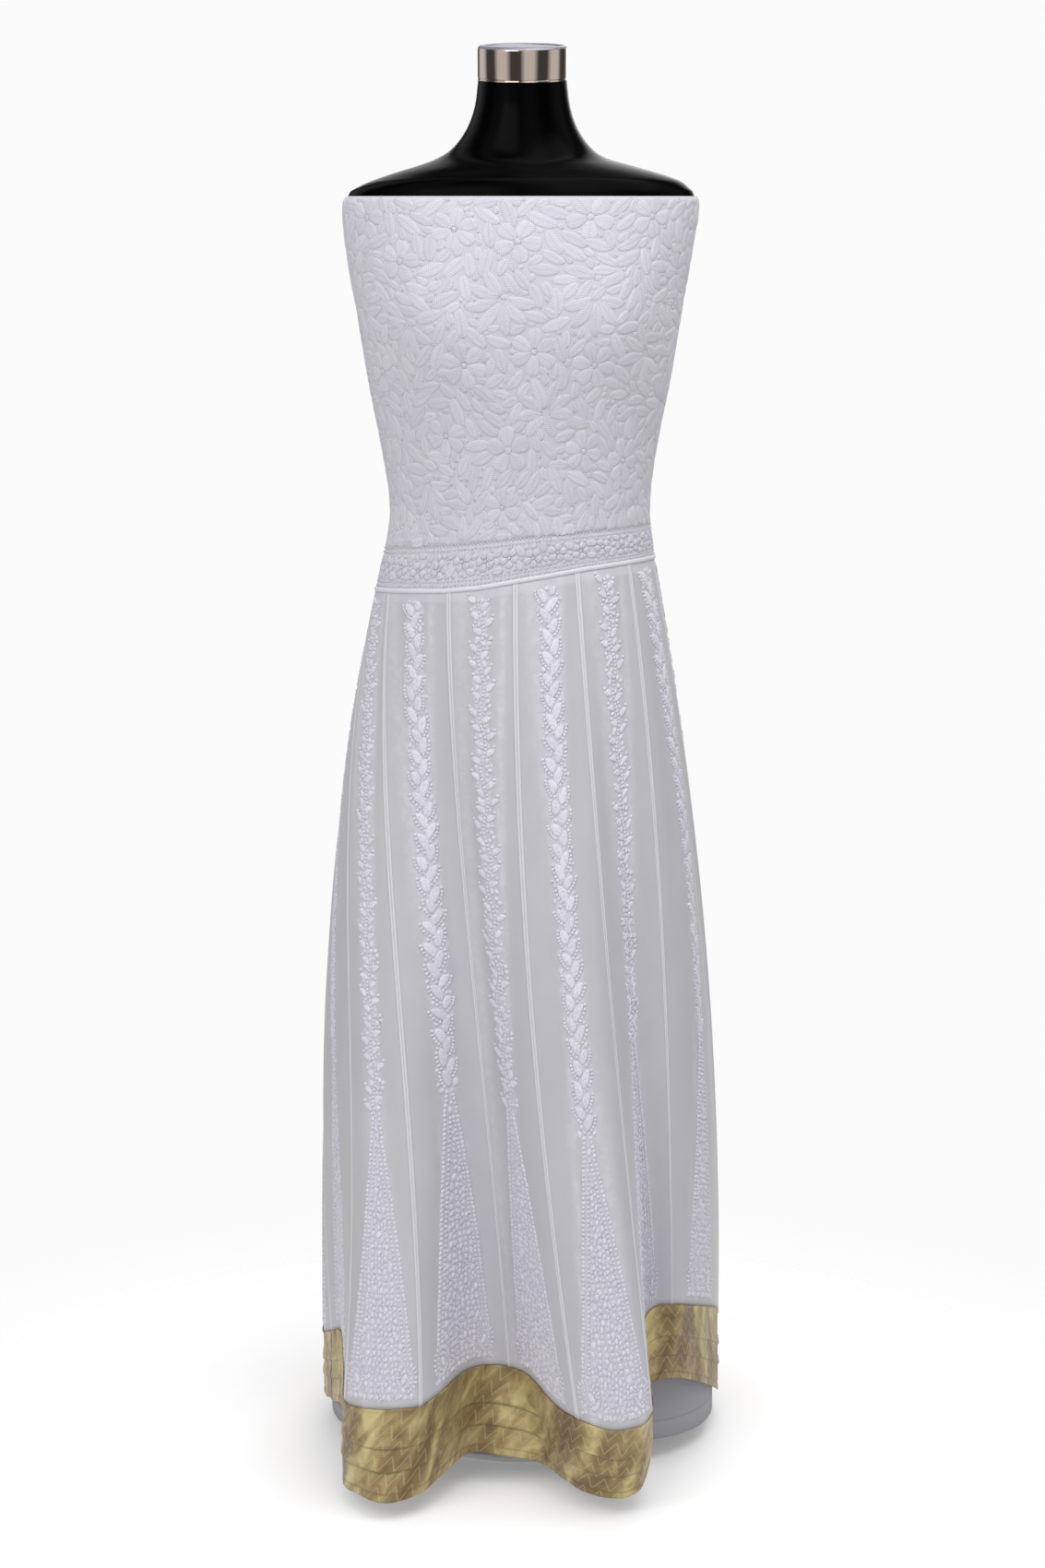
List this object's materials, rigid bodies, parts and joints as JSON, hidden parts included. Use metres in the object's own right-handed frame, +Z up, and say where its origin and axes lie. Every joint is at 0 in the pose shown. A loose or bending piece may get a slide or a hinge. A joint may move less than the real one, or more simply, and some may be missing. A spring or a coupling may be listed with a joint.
{
  "type": "anarkali gown on a dress form",
  "caption": "Strapless white embroidered anarkali gown with flared skirt panels, a slanting waistband and a gold brocade hem border, worn by a limbless gloss dress form on a round stand.",
  "frame": {"origin": "centre of the stand's round base on its underside, on the pole's axis", "axes": "+Z up along the pole; the gown's front faces -Y; +X is to the right of someone who looks at the front"},
  "size_m": [0.4432, 0.5927, 1.5099],
  "materials": {
    "bodice_cloth": "white georgette covered with raised chikankari thread embroidery, matt",
    "band_cloth": "white georgette with rows of knot stitch, matt",
    "skirt_cloth": "sheer white georgette over a lining, embroidered vines, matt",
    "piping": "white cotton cord piping, matt",
    "brocade": "gold tissue brocade, quilted in a zigzag, satin sheen",
    "lining_cloth": "white lining, matt",
    "form_gloss": "gloss black lacquered fibreglass",
    "cap_chrome": "polished chrome",
    "stand_steel": "brushed steel",
    "base_steel": "satin white powder coat"
  },
  "bodies": {
    "root": {"bodice_front": "bodice_cloth", "bodice_back": "bodice_cloth", "waistband_front": "band_cloth", "waistband_back": "band_cloth", "waist_piping": "piping", "border_front": "brocade", "border_back": "brocade", "lining_front": "lining_cloth", "lining_back": "lining_cloth", "form_torso": "form_gloss", "neck_cap": "cap_chrome", "form_flange": "stand_steel", "pole": "stand_steel", "pole_collar": "stand_steel", "base": "base_steel", "kali_01": "skirt_cloth", "kali_02": "skirt_cloth", "kali_03": "skirt_cloth", "kali_04": "skirt_cloth", "kali_05": "skirt_cloth", "kali_06": "skirt_cloth", "kali_07": "skirt_cloth", "kali_08": "skirt_cloth", "kali_09": "skirt_cloth", "kali_10": "skirt_cloth", "kali_11": "skirt_cloth", "kali_12": "skirt_cloth", "kali_13": "skirt_cloth", "kali_14": "skirt_cloth"}
  },
  "joints": []
}
